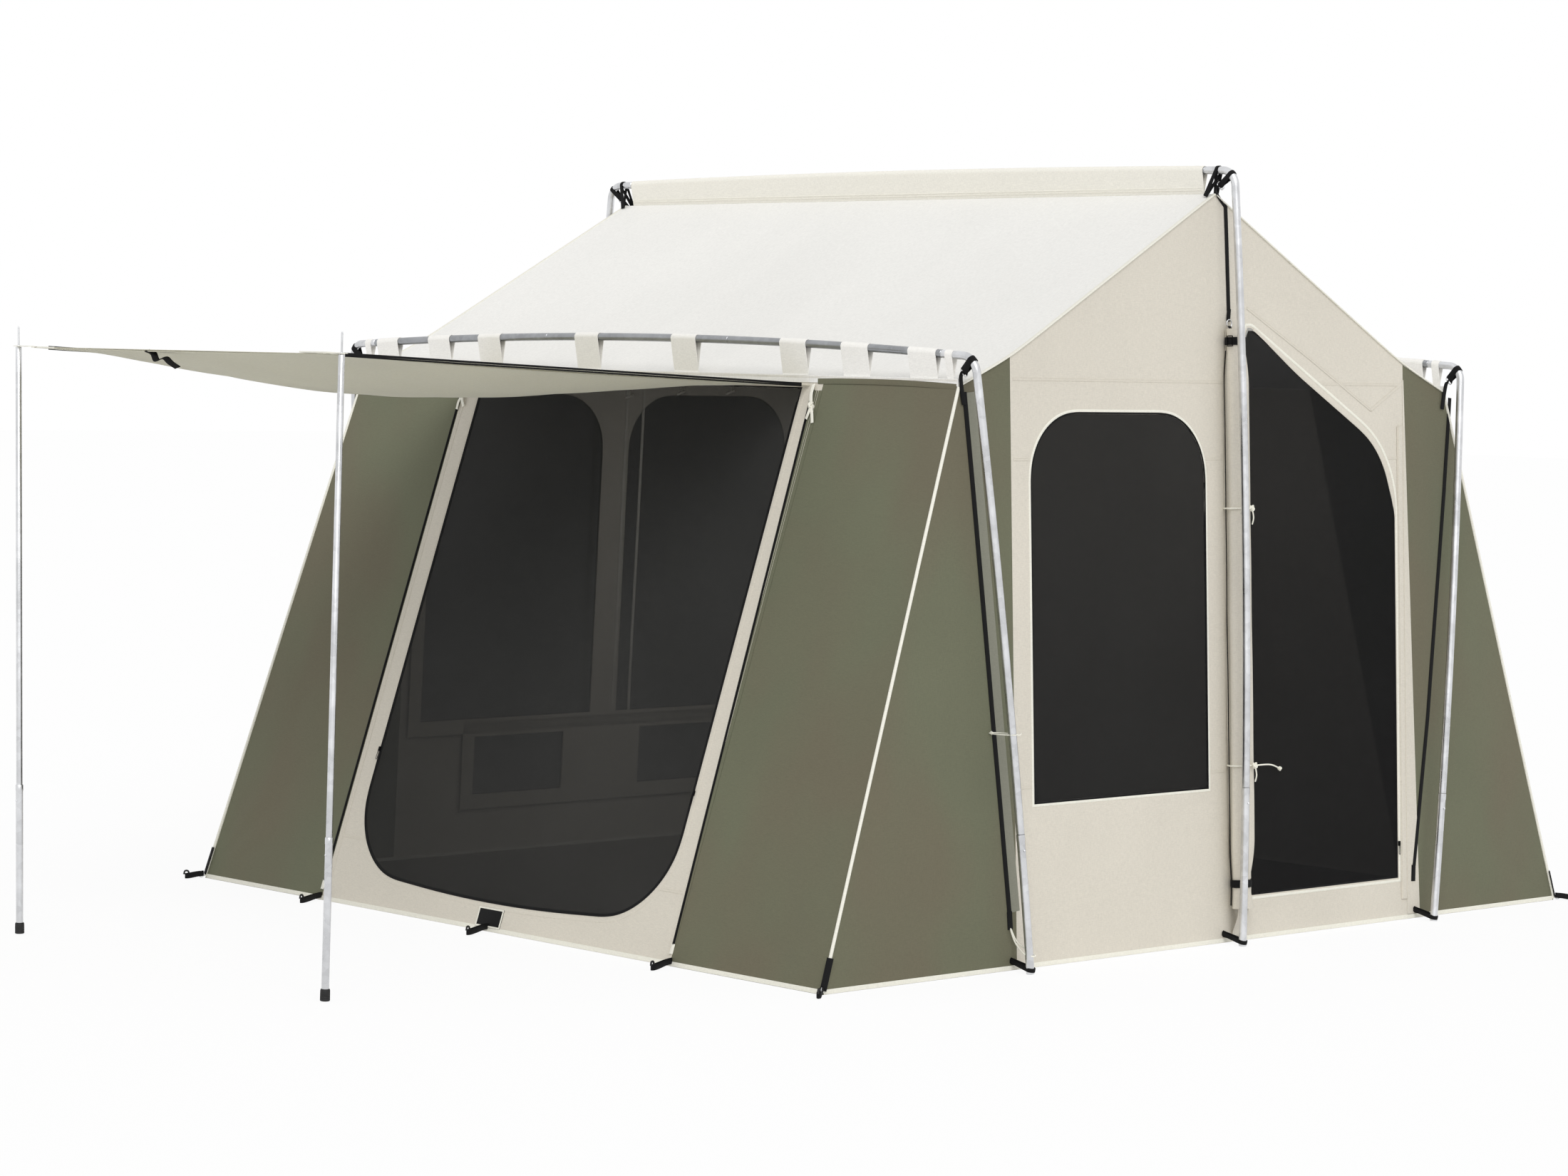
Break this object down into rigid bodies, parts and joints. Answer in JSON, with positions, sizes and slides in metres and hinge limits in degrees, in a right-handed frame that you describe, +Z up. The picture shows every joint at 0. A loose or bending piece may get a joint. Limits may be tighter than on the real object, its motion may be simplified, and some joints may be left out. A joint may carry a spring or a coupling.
{
  "type": "canvas wall tent",
  "caption": "Canvas wall tent hung under steel hoops, with mesh doors and windows, a sewn-in floor and a door flap propped on poles as a porch.",
  "frame": {"origin": "on the ground under the middle of the floor, at the underside of the groundsheet", "axes": "+Z up; X along the ridge, +X towards the gable with the side door; -Y towards the porch"},
  "size_m": [3.3142, 4.7928, 2.5044],
  "materials": {
    "galvanised_steel": "bright galvanised tube",
    "roof_canvas": "off-white cotton duck",
    "cream_canvas": "cream cotton duck",
    "olive_canvas": "olive cotton duck",
    "insect_net": "black insect netting",
    "floor_vinyl": "brown vinyl-coated cloth",
    "black_webbing": "black woven webbing",
    "black_rubber": "matt rubber",
    "slider_metal": "black painted zinc"
  },
  "bodies": {
    "root": {"back_bar_left": "galvanised_steel", "back_bar_middle": "galvanised_steel", "back_bar_right": "galvanised_steel", "back_door_panel": "cream_canvas", "back_eave_band": "roof_canvas", "back_flank_left": "olive_canvas", "back_flank_right": "olive_canvas", "back_leg_left_lower": "galvanised_steel", "back_leg_left_upper": "galvanised_steel", "back_leg_right_lower": "galvanised_steel", "back_leg_right_upper": "galvanised_steel", "flap_tie_lower": "black_webbing", "flap_tie_upper": "black_webbing", "front_bar_left": "galvanised_steel", "front_bar_middle": "galvanised_steel", "front_bar_right": "galvanised_steel", "front_door_panel": "cream_canvas", "front_eave_band": "roof_canvas", "front_flank_left": "olive_canvas", "front_flank_right": "olive_canvas", "front_leg_left_lower": "galvanised_steel", "front_leg_left_upper": "galvanised_steel", "front_leg_right_lower": "galvanised_steel", "front_leg_right_upper": "galvanised_steel", "gable_panel_left": "cream_canvas", "gable_panel_right": "cream_canvas", "gable_vents_left": "insect_net", "gable_window_right": "insect_net", "gable_windows_left": "insect_net", "groundsheet": "floor_vinyl", "gusset_back_left": "olive_canvas", "gusset_back_right": "olive_canvas", "gusset_front_left": "olive_canvas", "gusset_front_right": "olive_canvas", "hem_patch": "black_webbing", "pole_foot_left": "black_rubber", "pole_foot_right": "black_rubber", "pole_lower_left": "galvanised_steel", "pole_lower_right": "galvanised_steel", "ridge_bar_left": "galvanised_steel", "ridge_bar_middle": "galvanised_steel", "ridge_bar_right": "galvanised_steel", "ridge_leg_left_lower": "galvanised_steel", "ridge_leg_left_upper": "galvanised_steel", "ridge_leg_right_lower": "galvanised_steel", "ridge_leg_right_upper": "galvanised_steel", "ridge_sleeve": "roof_canvas", "roof_back": "roof_canvas", "roof_front": "roof_canvas", "side_flap_roll": "cream_canvas"},
    "porch": {"porch_flap": "cream_canvas"},
    "front_mesh_door": {"front_screen": "insect_net"},
    "side_mesh_door": {"side_screen": "insect_net"},
    "pole_left": {"pole_upper_left": "galvanised_steel", "porch_tab_left": "cream_canvas"},
    "pole_right": {"pole_upper_right": "galvanised_steel", "porch_tab_right": "cream_canvas"},
    "zip_front_left": {"front_zip_slider_left": "slider_metal"},
    "zip_front_right": {"front_zip_slider_right": "slider_metal"},
    "zip_side": {"side_zip_slider": "slider_metal"}
  },
  "joints": [
    {"name": "porch_hinge", "type": "hinge", "parent": "root", "child": "porch", "pos_m": [0, -1.18326, 1.76541], "axis": [-1, 0, 0], "range_deg": [-60, 0]},
    {"name": "front_mesh_hinge", "type": "hinge", "parent": "root", "child": "front_mesh_door", "pos_m": [0, -1.18471, 1.75388], "axis": [-1, 0, 0], "range_deg": [0, 60]},
    {"name": "side_mesh_hinge", "type": "hinge", "parent": "root", "child": "side_mesh_door", "pos_m": [1.55202, 0.1458, 0.14195], "axis": [-0.0491, 0, 0.9988], "range_deg": [0, 100]},
    {"name": "pole_left_slide", "type": "slide", "parent": "root", "child": "pole_left", "axis": [-0.02, 0, 0.9998], "range_m": [-0.3, 0]},
    {"name": "pole_right_slide", "type": "slide", "parent": "root", "child": "pole_right", "axis": [0.02, 0, 0.9998], "range_m": [-0.3, 0]},
    {"name": "zip_front_left_slide", "type": "slide", "parent": "root", "child": "zip_front_left", "axis": [0, 0.3185, 0.9479], "range_m": [0, 1.15]},
    {"name": "zip_front_right_slide", "type": "slide", "parent": "root", "child": "zip_front_right", "axis": [0, 0.3185, 0.9479], "range_m": [0, 1.15]},
    {"name": "zip_side_slide", "type": "slide", "parent": "root", "child": "zip_side", "axis": [-0.0491, 0, 0.9988], "range_m": [0, 1.05]}
  ]
}
